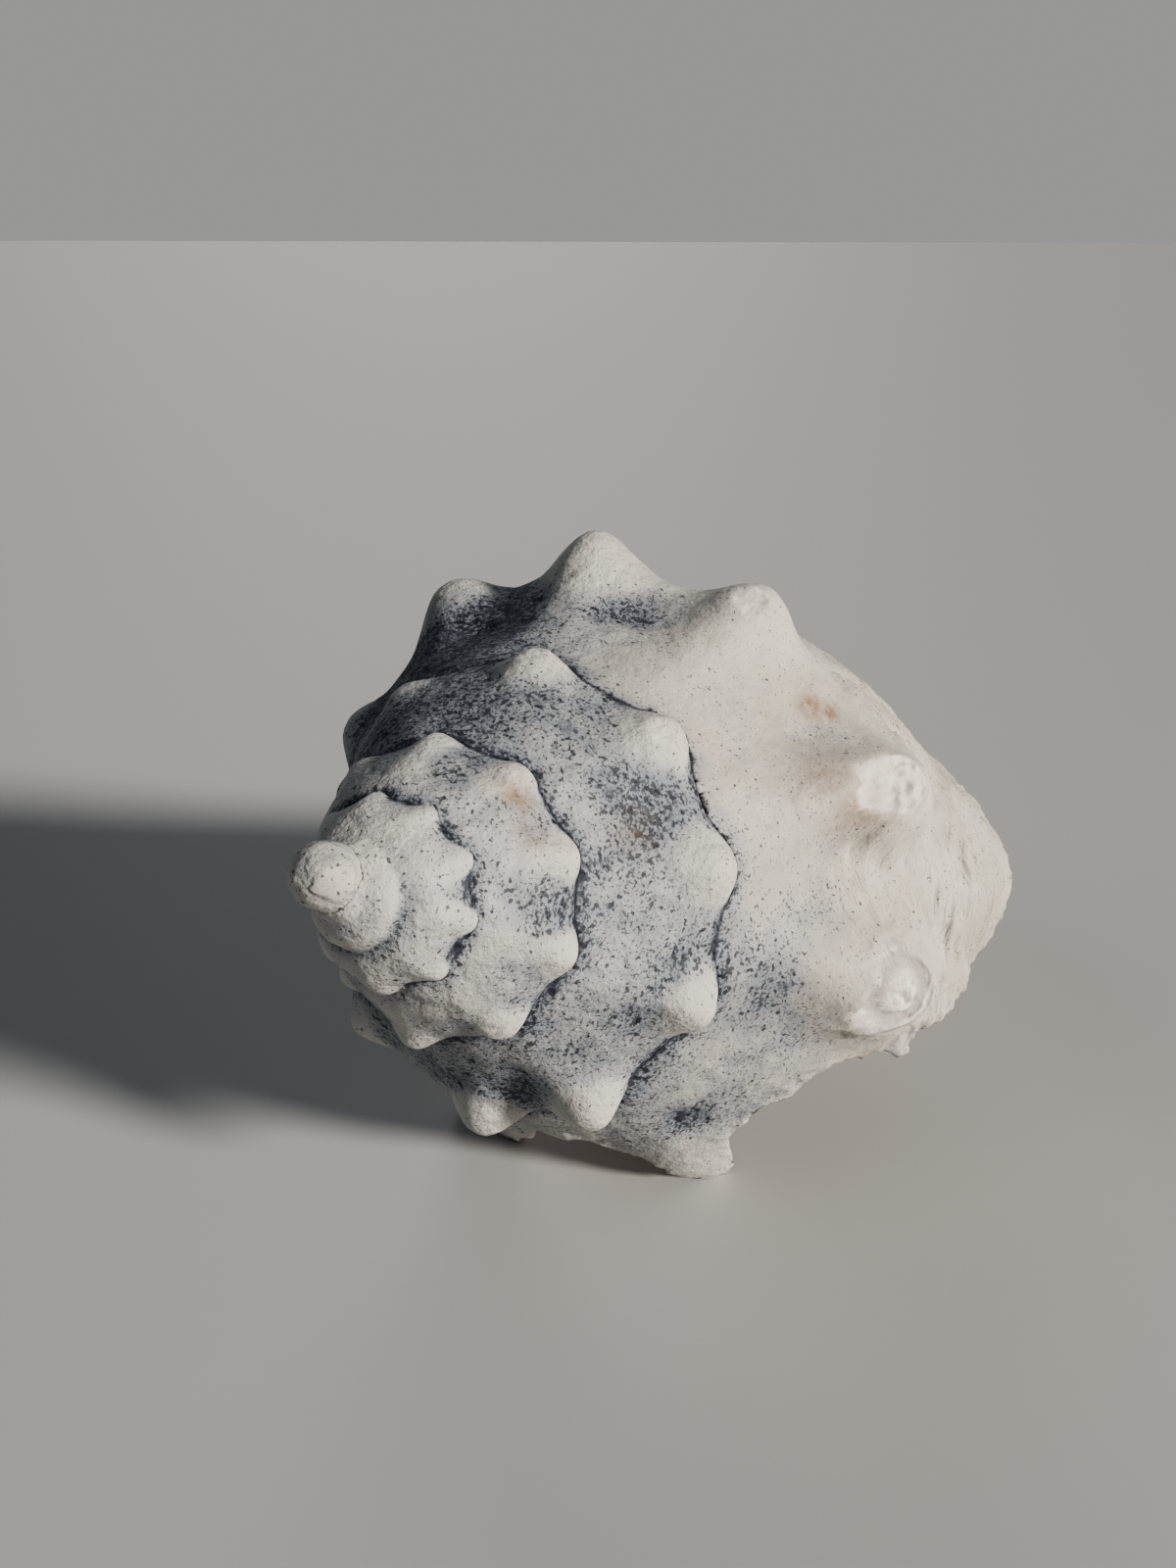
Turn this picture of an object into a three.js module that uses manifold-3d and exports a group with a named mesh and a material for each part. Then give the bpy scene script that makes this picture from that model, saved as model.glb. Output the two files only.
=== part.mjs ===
// A worn, knobbed conch shell lying on a level surface, as it rests: on the corner of its broken lip,
// on the end of the lip's remaining strip and on the beak of its canal. Millimetres, Z up.
//
// The shell is a spiral. Every place on it is given by the angle turned back from the lip corner along
// the coil, and by a section in the half plane through the axis: r is the distance from the axis and
// w the distance from the apex along it.

import * as THREE from 'three';
import Module from 'manifold-3d';
import { mergeVertices } from 'three/addons/utils/BufferGeometryUtils.js';

// Driving dimensions of the coil
const SHOULDER_RADIUS = 57; // axis to shoulder at the lip corner
const SHOULDER_DEPTH = 89; // apex to shoulder level at the lip corner, along the axis
const LENGTH = 158; // apex to the end of the canal, along the axis
const RADIAL_GROWTH = 1.69; // per turn
const AXIAL_GROWTH = 1.77; // per turn
const TURNS_BACK = 6; // whorls between the lip corner and the apex dome
const APEX_RADIUS = 4.2;
const APEX_PLACE = [-0.8, -1.2, 2]; // middle of the apex dome: off the axis, and along it
const WALL = 5;
const COLUMELLA_RADIUS = 9;

// Angles along the coil, in degrees back from the lip corner; past the corner they are negative
const LIP_END = -66;
const CAVITY_END = 255;
const LAST_WHORL_END = 285;

// How the shell lies
const AXIS_DROP = 24; // degrees that the axis falls from apex to canal
const CORNER_TURN = 58; // degrees from level, round the axis, down to the lip corner
const APEX_HEIGHT = 81.2; // over the surface; what would reach lower is worn flat

// Knobs on the shoulder: angle back from the lip corner and size, for the last two whorls
const KNOBS = [
  [-4, 0.4], [45, 0.6], [80, 0.85], [119, 1.1], [150, 1.15], [180, 1.05], [215, 0.9], [253, 0.95],
  [291, 1.05], [330, 1.2], [357, 1.2], [394, 1.05], [428, 0.9], [463, 1.1], [501, 1.1], [542, 0.8],
  [578, 0.95], [614, 1], [650, 1], [686, 1.05],
];
const OLD_KNOB_STEP = 36.6; // on the whorls before those
const KNOB_HALF_WIDTH = 10;
const KNOBS_FADE = [1350, 1650];

// Half sections of a whorl, as parts of its shoulder radius and shoulder depth: from inside the whorl
// before it, over the suture and down the ramp to the shoulder, in a hollow and over a knob
const HOLLOW_RAMP = [
  [0.44, 0.5], [0.6, 0.583], [0.68, 0.665], [0.77, 0.765], [0.85, 0.865], [0.905, 0.945],
  [0.935, 1], [0.93, 1.05], [0.945, 1.12],
];
const KNOB_RAMP = [
  [0.44, 0.5], [0.6, 0.575], [0.69, 0.65], [0.8, 0.735], [0.93, 0.825], [1.04, 0.905],
  [1.085, 0.985], [1.05, 1.065], [0.98, 1.14],
];
// Radius of the body from the shoulder to the canal, against the depth in shoulder depths
const BODY = [
  [1.12, 0.95], [1.22, 0.93], [1.35, 0.84], [1.5, 0.71], [1.7, 0.54], [2, 0.36], [2.4, 0.25], [4, 0.2],
];

// How far the body stands out past its shoulder, towards the wing that is left of the flared lip, by angle
const REACH = [
  [33, 0.26], [45, 0.22], [50, 0.24], [63, 0.33], [72, 0.26], [80, 0.17], [90, 0.11], [115, 0.085],
  [135, 0.035], [165, 0],
];
const REACH_RISE = [-1, 15]; // depth past the shoulder where it starts and is full
// How much of the body's taper to the canal there is, by angle: none behind the wing
const TAPER = [[75, 0], [90, 0.35], [110, 0.7], [140, 1]];

// Where the side that lies away from the lip is pressed in, round the axis
const PRESSED_TURN = 172;
const PRESSED_WIDTH = 46;
const PRESSED = 0.16;

// Depth of the broken lip's edge by angle
const LIP_EDGE = [
  [-66, 58], [-58, 72], [-52, 86], [-43, 88], [-36, 80], [-28, 74], [-18, 74], [-12, 82], [-7, 90], [-3, 93],
  [3, 90], [7, 83], [12, 79], [18, 77], [25, 79], [30, 81], [32, 92], [36, 98], [45, 106], [60, 118],
  [75, 127], [90, 137], [105, 146], [120, 160], [135, 175],
];

// The beak and the canal along it: depth, radius and distance off the axis of their rings
const BEAK = [[90, 8, 0], [112, 10, 1], [128, 13, 3.5], [142, 14, 7], [153, 12, 9], [160, 8, 10.5]];
const BEAK_TURN = 92;
const CANAL = [[100, 2, 10], [116, 4.5, 14], [140, 5.5, 17], [170, 6, 19]];
const CANAL_TURN = 30;

const radians = THREE.MathUtils.degToRad;
const clamp01 = (x) => Math.min(1, Math.max(0, x));
const smooth = (x) => clamp01(x) ** 2 * (3 - 2 * clamp01(x));
const shoulderRadius = (angle) => SHOULDER_RADIUS * RADIAL_GROWTH ** (-angle / 360);
const shoulderDepth = (angle) => SHOULDER_DEPTH * AXIAL_GROWTH ** (-angle / 360);

function curveAt(table, x) {
  let i = 1;
  while (i < table.length - 1 && x > table[i][0]) i += 1;
  const [x0, y0] = table[i - 1];
  const [x1, y1] = table[i];
  return y0 + (y1 - y0) * clamp01((x - x0) / (x1 - x0));
}

function knobList() {
  const knobs = [...KNOBS];
  const oldest = TURNS_BACK * 360;
  for (let a = KNOBS.at(-1)[0] + OLD_KNOB_STEP; a < oldest; a += OLD_KNOB_STEP) knobs.push([a, 1]);
  return knobs;
}
const ALL_KNOBS = knobList();

function knobHeight(angle) {
  const fade = 1 - smooth((angle - KNOBS_FADE[0]) / (KNOBS_FADE[1] - KNOBS_FADE[0]));
  const heights = ALL_KNOBS.map(([a, size]) => size * Math.exp(-(((angle - a) / KNOB_HALF_WIDTH) ** 2)));
  return fade * heights.reduce((sum, h) => sum + h, 0);
}

function bodyRadius(angle, depth) {
  const along = depth / shoulderDepth(angle);
  const tapered = curveAt(BODY, 1 + (along - 1) * curveAt(TAPER, angle));
  const past = depth - shoulderDepth(angle);
  const rise = smooth((past - REACH_RISE[0]) / (REACH_RISE[1] - REACH_RISE[0]));
  const core = Math.min(COLUMELLA_RADIUS, 0.4 * shoulderRadius(angle));
  return Math.max(shoulderRadius(angle) * tapered * (1 + rise * curveAt(REACH, angle)), core);
}

// The outer outline of the half section at an angle, as [r, w] points from the suture to the canal
function outline(angle, knob, bodySteps, end) {
  const R = shoulderRadius(angle);
  const W = shoulderDepth(angle);
  const ramp = HOLLOW_RAMP.map(([r, w], i) => {
    const [kr, kw] = KNOB_RAMP[i];
    return [R * (r + knob * (kr - r)), W * (w + knob * (kw - w))];
  });
  const [, start] = ramp.at(-1);
  const body = [];
  for (let i = 1; i <= bodySteps; i += 1) {
    const depth = start + ((end - start) * i) / bodySteps;
    body.push([bodyRadius(angle, depth), depth]);
  }
  return [...ramp, ...body];
}

// Moves an outline inwards by a distance, to give the inner side of the wall
function offset(points, distance) {
  return points.map((p, i) => {
    const a = points[Math.max(0, i - 1)];
    const b = points[Math.min(points.length - 1, i + 1)];
    const length = Math.hypot(b[0] - a[0], b[1] - a[1]);
    return [p[0] - (distance * (b[1] - a[1])) / length, p[1] + (distance * (b[0] - a[0])) / length];
  });
}

const wasm = await Module();
wasm.setup();

function toSolid(positions, triangles) {
  return new wasm.Manifold(new wasm.Mesh({
    numProp: 3,
    vertProperties: Float32Array.from(positions),
    triVerts: Uint32Array.from(triangles),
  }));
}

function fromGeometry(geometry) {
  geometry.deleteAttribute('normal');
  geometry.deleteAttribute('uv');
  const merged = mergeVertices(geometry);
  return toSolid(merged.attributes.position.array, merged.index.array);
}

// A point of the coil in the shell's own frame: x level, y down, z from apex to canal
function coilPoint(angle, [r, w]) {
  const turn = CORNER_TURN - angle;
  const aside = THREE.MathUtils.euclideanModulo(turn - PRESSED_TURN + 180, 360) - 180;
  const reach = r * (1 - PRESSED * Math.exp(-((aside / PRESSED_WIDTH) ** 2)));
  return [reach * Math.cos(radians(turn)), reach * Math.sin(radians(turn)), w];
}

// Sweeps half sections round the axis: sectionAt gives the closed outline at each angle
function sweep(from, to, step, sectionAt) {
  const count = Math.ceil((to - from) / step);
  const positions = [];
  const triangles = [];
  let size = 0;
  for (let i = 0; i <= count; i += 1) {
    const angle = from + ((to - from) * i) / count;
    const section = sectionAt(angle);
    size = section.length;
    for (const p of section) positions.push(...coilPoint(angle, p));
    const contour = section.map(([r, w]) => new THREE.Vector2(r, w));
    if (i === 0 || i === count) {
      for (const [a, b, c] of THREE.ShapeUtils.triangulateShape(contour, [])) {
        const base = i * size;
        triangles.push(...(i === 0 ? [base + a, base + c, base + b] : [base + a, base + b, base + c]));
      }
    }
  }
  for (let i = 0; i < count; i += 1) {
    for (let j = 0; j < size; j += 1) {
      const a = i * size + j;
      const b = i * size + ((j + 1) % size);
      triangles.push(a, b, b + size, a, b + size, a + size);
    }
  }
  return toSolid(positions, triangles);
}

function whorl(from, to, step, bodySteps, endOf) {
  return sweep(from, to, step, (angle) => {
    const points = outline(angle, knobHeight(angle), bodySteps, endOf(angle));
    return [[1, points[0][1]], ...points, [1, points.at(-1)[1]]];
  });
}

// Rings of a tapering round solid along the axis, each [depth, radius, distance off the axis]
function taper(rings, direction, sides) {
  const positions = [];
  const triangles = [];
  rings.forEach(([depth, radius, off]) => {
    for (let j = 0; j < sides; j += 1) {
      const turn = (2 * Math.PI * j) / sides;
      const x = off * Math.cos(direction) + radius * Math.cos(turn);
      const y = off * Math.sin(direction) + radius * Math.sin(turn);
      positions.push(x, y, depth);
    }
  });
  for (let j = 1; j < sides - 1; j += 1) {
    const top = (rings.length - 1) * sides;
    triangles.push(0, j + 1, j, top, top + j, top + j + 1);
  }
  for (let i = 0; i < rings.length - 1; i += 1) {
    for (let j = 0; j < sides; j += 1) {
      const a = i * sides + j;
      const b = i * sides + ((j + 1) % sides);
      triangles.push(a, b, b + sides, a, b + sides, a + sides);
    }
  }
  return toSolid(positions, triangles);
}

// The room inside the last whorl, open at the canal
function cavity() {
  return sweep(LIP_END - 3, CAVITY_END, 9, (angle) => {
    const inner = offset(outline(angle, 0, 7, LENGTH + 4), WALL).slice(1);
    return [[1, inner[0][1]], ...inner, [1, inner.at(-1)[1]]];
  });
}

// What has broken away from the lip
function brokenAway() {
  const last = LIP_EDGE.at(-1)[0];
  return sweep(LIP_EDGE[0][0] - 2, last, 4, (angle) => {
    const edge = curveAt(LIP_EDGE, angle) + 1.4 * Math.sin(angle * 0.55) * Math.sin(angle * 0.21 + 1);
    return [[0.5, edge + 3], [WALL * 3, edge + 3], [100, edge], [100, LENGTH + 30], [0.5, LENGTH + 30]];
  });
}

function shellSolid() {
  const oldest = TURNS_BACK * 360;
  const shortEnd = (angle) => shoulderDepth(angle) * 1.35;
  const last = whorl(LIP_END, 120, 4.5, 9, () => LENGTH).add(whorl(120, LAST_WHORL_END, 6, 9, () => LENGTH));
  const before = whorl(LAST_WHORL_END, 470, 6, 8, () => LENGTH).add(whorl(470, 655, 6, 8, () => LENGTH));
  const middle = whorl(655, 850, 8, 1, shortEnd).add(whorl(850, 1045, 9, 1, shortEnd));
  const early = whorl(1045, 1330, 11, 1, shortEnd).add(whorl(1330, 1600, 14, 1, shortEnd));
  const first = whorl(1600, 1900, 18, 1, shortEnd).add(whorl(1900, oldest, 24, 1, shortEnd));
  const dome = new THREE.IcosahedronGeometry(APEX_RADIUS, 2);
  dome.translate(...APEX_PLACE);
  const core = taper([[4, 2.5, 0], [25, 4, 0], [60, 6, 0], [LENGTH - 2, COLUMELLA_RADIUS - 2, 0]], 0, 16);
  const beak = taper(BEAK, radians(BEAK_TURN), 20);
  const canal = taper(CANAL, radians(CANAL_TURN), 14);
  return last.subtract(cavity()).subtract(brokenAway())
    .add(before).add(middle).add(early).add(first)
    .add(fromGeometry(dome)).add(core).add(beak).subtract(canal);
}

// Lays the shell down: the axis falls towards the canal, away along Y. What would reach under the
// surface is worn off flat, and the origin is under the middle of the shell.
function laid(solid) {
  const drop = radians(AXIS_DROP);
  const across = new THREE.Vector3(1, 0, 0);
  const down = new THREE.Vector3(0, -Math.sin(drop), -Math.cos(drop));
  const along = new THREE.Vector3(0, Math.cos(drop), -Math.sin(drop));
  const turned = solid.transform(new THREE.Matrix4().makeBasis(across, down, along).toArray());
  const worn = turned.trimByPlane([0, 0, 1], -APEX_HEIGHT);
  const [shell] = worn.decompose().sort((a, b) => b.volume() - a.volume());
  const { min, max } = shell.boundingBox();
  return shell.translate([-(min[0] + max[0]) / 2, -(min[1] + max[1]) / 2, APEX_HEIGHT]);
}

const { vertProperties, triVerts } = laid(shellSolid()).getMesh();
const geometry = new THREE.BufferGeometry();
geometry.setAttribute('position', new THREE.BufferAttribute(vertProperties, 3));
geometry.setIndex(new THREE.BufferAttribute(triVerts, 1));
const shell = new THREE.Mesh(
  geometry,
  new THREE.MeshStandardMaterial({ color: 0xd9d5cf, roughness: 0.8, metalness: 0 }),
);
shell.name = 'shell';

const conch = new THREE.Group();
conch.add(shell);
export default conch;
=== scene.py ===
"""A worn, knobbed conch shell lying on a plain floor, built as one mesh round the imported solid."""

import math

import bpy
import bmesh
import numpy as np
from mathutils import Matrix, Vector


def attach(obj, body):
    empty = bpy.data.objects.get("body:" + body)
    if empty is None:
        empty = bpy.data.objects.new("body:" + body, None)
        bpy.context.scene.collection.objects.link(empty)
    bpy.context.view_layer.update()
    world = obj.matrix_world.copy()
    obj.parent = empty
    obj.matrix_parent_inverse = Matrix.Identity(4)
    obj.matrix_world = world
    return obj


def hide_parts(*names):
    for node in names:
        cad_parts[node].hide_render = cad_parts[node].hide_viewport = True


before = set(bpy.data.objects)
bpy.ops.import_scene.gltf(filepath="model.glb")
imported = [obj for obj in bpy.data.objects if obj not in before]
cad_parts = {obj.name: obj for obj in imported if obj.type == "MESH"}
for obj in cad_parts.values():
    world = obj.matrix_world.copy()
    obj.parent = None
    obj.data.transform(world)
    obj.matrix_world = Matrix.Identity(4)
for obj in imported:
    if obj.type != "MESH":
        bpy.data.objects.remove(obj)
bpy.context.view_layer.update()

MM = 0.001

# The coil, in millimetres, as in the solid: radii are taken from the axis and depths from the apex.
# Angles along the coil count in degrees, from the lip's corner back to the apex.
SHOULDER_RADIUS = 57.0
SHOULDER_DEPTH = 89.0
LENGTH = 158.0
RADIAL_GROWTH = 1.69
AXIAL_GROWTH = 1.77
TURNS_BACK = 6.0
APEX_RADIUS = 4.2
APEX_PLACE = (-0.8, -1.2, 2.0)
WALL = 4.2
COLUMELLA_RADIUS = 9.0
LIP_END = -66.0
CAVITY_END = 255.0
LAST_WHORL_END = 285.0
AXIS_DROP = 24.0
CORNER_TURN = 58.0
APEX = (-14.3, -75.27, 81.2)  # the apex in the frame

# Each knob's angle along the coil and its size
KNOBS = [
    (-4, 0.45), (47, 1.1), (80, 1.1), (119, 0.98), (150, 1.15), (180, 1.05), (215, 0.9), (253, 0.95),
    (291, 1.05), (330, 1.2), (357, 1.2), (394, 1.05), (428, 0.9), (463, 1.1), (501, 1.1), (542, 0.8),
    (578, 0.95), (614, 1.0), (650, 1.0), (686, 1.05),
]
OLD_KNOB_STEP = 36.6
KNOB_HALF_WIDTH = 10.0
WIDER_KNOBS = {47: 12.0, 80: 11.0}
KNOBS_FADE = (1350.0, 1650.0)  # the oldest whorls are smooth
STEP_FADE = 9.0  # over how much depth the shoulder's table passes into the body

# Sections from suture to just past the shoulder, as shares of its radius and depth, by angle along the coil
STAGES = [88.0, 135.0, 520.0, 1250.0]
HOLLOWS = [
    [(0.44, 0.5), (0.6, 0.583), (0.68, 0.665), (0.77, 0.765), (0.85, 0.855), (0.905, 0.925), (0.955, 0.99),
     (0.995, 1.05), (1.035, 1.12)],
    [(0.44, 0.5), (0.6, 0.583), (0.68, 0.665), (0.77, 0.765), (0.86, 0.86), (0.925, 0.935), (0.965, 0.995),
     (0.97, 1.05), (0.96, 1.12)],
    [(0.44, 0.5), (0.6, 0.58), (0.69, 0.66), (0.79, 0.755), (0.885, 0.85), (0.955, 0.925), (1.0, 0.99),
     (1.01, 1.05), (1.0, 1.12)],
    [(0.5, 0.4), (0.68, 0.47), (0.81, 0.55), (0.905, 0.65), (0.965, 0.76), (0.99, 0.87), (1.0, 0.97),
     (0.99, 1.05), (0.98, 1.12)],
]
KNOBBED = [
    [(0.44, 0.5), (0.6, 0.575), (0.69, 0.65), (0.8, 0.73), (0.93, 0.8), (1.04, 0.865), (1.085, 0.95),
     (1.08, 1.05), (1.06, 1.14)],
    [(0.44, 0.5), (0.6, 0.58), (0.685, 0.66), (0.785, 0.755), (0.905, 0.84), (1.035, 0.9), (1.09, 0.98),
     (1.055, 1.065), (0.98, 1.14)],
    [(0.44, 0.5), (0.6, 0.58), (0.69, 0.66), (0.79, 0.75), (0.905, 0.83), (1.035, 0.89), (1.095, 0.975),
     (1.07, 1.065), (1.0, 1.14)],
    [(0.5, 0.4), (0.68, 0.465), (0.83, 0.54), (0.945, 0.635), (1.03, 0.74), (1.075, 0.85), (1.085, 0.96),
     (1.05, 1.05), (0.99, 1.13)],
]
# How much narrower a knob is at each point of those sections
KNOB_SHARPNESS = [0.8, 0.95, 1.2, 1.45, 1.55, 1.55, 1.5, 1.4, 1.2]
# Below the shoulder: the radius by the depth, both as shares of the shoulder's
BODY = [
    (1.12, 0.95), (1.22, 0.93), (1.35, 0.84), (1.5, 0.71), (1.7, 0.54), (2.0, 0.36), (2.4, 0.25), (4.0, 0.2),
]
TAPER = [(75, 0.0), (90, 0.35), (110, 0.7), (140, 1.0)]  # how fully the body tapers, by angle
# The flare of the lip's side by angle: how much it adds, where it starts past the shoulder, and its rise
REACH = [
    (31, 0.15), (34, 0.19), (38, 0.2), (42, 0.22), (50, 0.24), (63, 0.33), (72, 0.26), (80, 0.17),
    (90, 0.11), (115, 0.085), (135, 0.035), (165, 0.0),
]
REACH_START = [(32, -1.0), (50, 0.0), (70, 0.0), (100, -1.0), (165, -1.0)]
REACH_LENGTH = [(31, 14.0), (36, 16.0), (42, 22.0), (52, 32.0), (66, 34.0), (100, 17.0), (165, 16.0)]
# The side away from the lip is pressed in, by a share that goes with the depth
PRESSED_TURN = 172.0
PRESSED_WIDTH = 46.0
PRESSED = [(10, 0.22), (18, 0.3), (32, 0.3), (48, 0.17), (160, 0.16)]
# The depth at which the lip is broken off, by angle, with its ripples, and how its cut leans
LIP_EDGE = [
    (-66, 58), (-58, 72), (-52, 86), (-43, 88), (-36, 77), (-28, 67), (-20, 66), (-14, 69), (-9, 76),
    (-4, 86.5), (0, 88.6), (3.5, 81), (7, 77.5), (13, 76.5), (18, 77), (25, 79), (28.5, 80), (31, 87),
    (33.5, 100), (35.5, 95), (38, 97), (41, 101), (45, 106.5), (52, 112), (60, 118), (75, 127),
    (90, 137), (105, 146), (120, 160), (135, 175),
]
LIP_RIPPLE = 1.4
LIP_LEAN = 3
# Round solids along the axis, as depth, radius and distance off the axis
BEAK = [(90, 8, 0), (112, 10, 1), (128, 13, 3.5), (142, 14, 7), (153, 12, 9), (160, 8, 10.5)]
BEAK_TURN = 92.0
CANAL = [(100, 2, 10), (116, 4.5, 14), (140, 5.5, 17), (170, 6, 19)]
CANAL_TURN = 30.0
CORE = [(4, 2.5, 0), (25, 4, 0), (60, 6, 0), (156, 7, 0)]

# How finely the coil is stepped: points on a section above and below the shoulder, and degrees along the coil
RAMP_STEPS = 44
BODY_STEPS = 84
FRONT_END = 135
FRONT_STEP = 1.0
BACK_STEP = 1.35
SECOND_WHORL_END = 638
SECOND_STEP = 1.4
SEAM_BITE = 0.03
OLDER_BODY_STEPS = 3
OLDER_REACH = 1.35  # how deep the older whorls go, against the shoulder
OLDER_WHORLS = [
    # from, to, step along the coil
    (SECOND_WHORL_END, 850, 1.7), (850, 1045, 2.2), (1045, 1330, 3.0), (1330, 1600, 5.0), (1600, 1900, 8.0),
    (1900, TURNS_BACK * 360, 10.0),
]
CAVITY_STEP = 2.5
CAVITY_RAMP_STEPS = 26
CAVITY_BODY_STEPS = 40
DOME_RINGS = 22
DOME_SIDES = 40
WELD = 0.05  # points nearer than this are one
SHORTEST = 0.02  # edges shorter than this are removed
LONGEST = 0.5  # edges longer than this are halved where the surface is broken
HALVINGS = [(8.0, True), (6.5, False)]  # how far round a deep scar, and whether on the lip's edge as well
FULL_SCAR = 1.6  # a scar cut less deep than this has a smaller stretch halved round it

# The camera, from the photograph's own perspective
CAMERA_PLACE = (0.0503, -0.1615, 0.1417)
CAMERA_PITCH = 25.0
CAMERA_TURN = 22.0
CAMERA_LENS = 27.0
SENSOR_HEIGHT = 36.0

FLOOR_SIZE = 60
FLOOR_COLOUR = (0.58, 0.58, 0.57, 1)
SKY_COLOUR = (0.86, 0.89, 0.94, 1)
SKY_STRENGTH = 0.07
BACKDROP_COLOUR = (0.27, 0.27, 0.265, 1)
LIGHTS = [
    # name, place that it shines from, spread in degrees, strength, colour
    ("key", (0.95, -0.12, 0.42), 8.5, 3.2, (1.0, 0.95, 0.88)),
    ("fill", (-0.8, -0.5, 0.7), 40.0, 0.23, (0.85, 0.92, 1.0)),
    ("back", (-0.5, 0.9, 0.6), 40.0, 0.34, (0.95, 0.97, 1.0)),
]

# Wear, in millimetres
SCARS = [
    # angle, depth against shoulder, tilt towards the apex, cut below the tip, roughness, ringed
    (47.0, 0.94, 54.0, 5.0, 0.35, 1.0),
    (80.0, 0.93, 38.0, 2.8, 1.1, 0.0),
    (119.0, 0.95, 38.0, 0.9, 0.9, 0.0),
    (463.0, 0.97, 34.0, 0.6, 0.6, 0.0),
    (501.0, 0.96, 30.0, 0.45, 0.35, 0.0),
    (720.0, 0.98, 30.0, 0.5, 0.4, 0.0),
]
SCAR_REACH = 13  # nothing further than this from a knob's tip is cut
RING = 0.86  # the raised ring and the raised middle of a ringed break, as shares of its radius
RING_WIDTH = 0.07
HEART = 0.56
HEART_WIDTH = 0.12
CORDS_CLEAR = (11.5, 7.5)  # how far the growth cords stay from the first two scars
DENTS = [
    # angle, depth against shoulder, radius, how deep
    (6.0, 0.76, 3.6, 0.9), (96.0, 0.86, 6.0, 1.2), (70.0, 0.82, 5.0, 1.3), (64.0, 0.8, 8.0, 0.5),
    (170.0, 0.78, 8.0, 1.2), (134.0, 0.84, 6.0, 0.8), (200.0, 0.8, 6.0, 0.8),
]
PATCHES = [
    # angle, depth against shoulder, radius, how much more growth; the row at 172 is painted shade in the
    # hollow beside the knob at 180, not growth
    (50.0, 0.68, 16.0, 0.2), (172.0, 0.76, 11.0, 0.9), (6.0, 0.76, 6.0, 0.4),
    (445.0, 0.8, 6.0, 0.5), (400.0, 0.85, 5.0, 0.35), (560.0, 0.9, 7.0, 0.5), (620.0, 0.95, 6.0, 0.4),
    (780.0, 0.9, 4.0, 0.5), (200.0, 0.9, 12.0, 0.4),
]
STAINS_AND_PAINTED_SHADE = [
    # angle, depth against shoulder, radius, strength; the rows at 77 and 84 are partly brown stain and partly
    # painted shade on the shaded side of the knob at 80
    (77.0, 0.8, 4.5, 0.55), (84.0, 0.77, 5.0, 0.4), (73.0, 0.84, 3.0, 0.4), (92.0, 0.8, 4.0, 0.2),
    (98.0, 0.93, 2.2, 1.0), (96.0, 0.96, 1.8, 1.0), (824.0, 0.85, 2.4, 0.8), (806.0, 0.8, 2.0, 0.5),
    (31.0, 1.05, 2.5, 1.0), (440.0, 0.75, 3.0, 0.25),
]
# How thick the blue-grey growth lies, by angle
GROWTH = [
    (-66, 0.75), (-20, 0.75), (0, 0.75), (20, 0.75), (35, 0.7), (50, 0.6), (70, 0.4), (100, 0.25), (119, 0.2),
    (132, 0.5), (150, 0.8), (180, 1.15), (215, 1.3), (260, 1.25), (300, 1.15), (340, 1.0), (380, 0.9),
    (430, 0.85), (463, 0.95), (501, 1.15), (560, 1.3), (620, 1.1), (690, 0.85), (760, 0.85), (860, 1.05),
    (960, 1.0), (1050, 0.95), (1200, 0.95), (1400, 0.9), (1700, 0.75), (2160, 0.55),
]

# Colours
CREAM = (0.535, 0.50, 0.44, 1)
BONE = (0.62, 0.59, 0.535, 1)
CREVICE = (0.33, 0.29, 0.24, 1)
BLUE_GREY = (0.25, 0.28, 0.33, 1)
TAN = (0.34, 0.225, 0.13, 1)
ASH = (0.56, 0.555, 0.53, 1)
SLATE = (0.13, 0.15, 0.19, 1)
NAVY = (0.03, 0.036, 0.054, 1)
PEPPER = (0.055, 0.05, 0.048, 1)
CHALK = (0.80, 0.77, 0.72, 1)
RING_GREY = (0.55, 0.52, 0.48, 1)
INNER = (0.78, 0.68, 0.62, 1)
SPECKS = [
    # noise scale, threshold where growth and painted shade are thin, where they are thick, softness, ink,
    # strength
    (2300.0, 0.66, 0.46, 0.06, PEPPER, 0.65),
    (1250.0, 0.685, 0.475, 0.07, NAVY, 0.75),
    (620.0, 0.75, 0.51, 0.10, NAVY, 0.75),
    (260.0, 0.74, 0.5, 0.2, SLATE, 0.55),
]


def smooth(x):
    """A smooth step from 0 to 1."""
    x = np.clip(x, 0.0, 1.0)
    return x * x * (3.0 - 2.0 * x)


def curve(table, x):
    """A smooth curve through the table's points that never overshoots them."""
    t = np.array(table, float)
    xs, ys = t[:, 0], t[:, 1]
    h = np.diff(xs)
    slope = np.diff(ys) / h
    m = np.zeros(len(xs))
    same = slope[1:] * slope[:-1] > 0
    w1 = 2 * h[1:] + h[:-1]
    w2 = h[1:] + 2 * h[:-1]
    with np.errstate(divide="ignore", invalid="ignore"):
        middle = (w1 + w2) / (w1 / slope[:-1] + w2 / slope[1:])
    m[1:-1] = np.where(same, middle, 0.0)
    m[0], m[-1] = slope[0], slope[-1]
    x = np.clip(np.asarray(x, float), xs[0], xs[-1])
    i = np.clip(np.searchsorted(xs, x) - 1, 0, len(h) - 1)
    s = (x - xs[i]) / h[i]
    a = (1 + 2 * s) * (1 - s) ** 2
    b = s * (1 - s) ** 2
    c = s * s * (3 - 2 * s)
    d = s * s * (s - 1)
    return a * ys[i] + b * h[i] * m[i] + c * ys[i + 1] + d * h[i] * m[i + 1]


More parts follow.
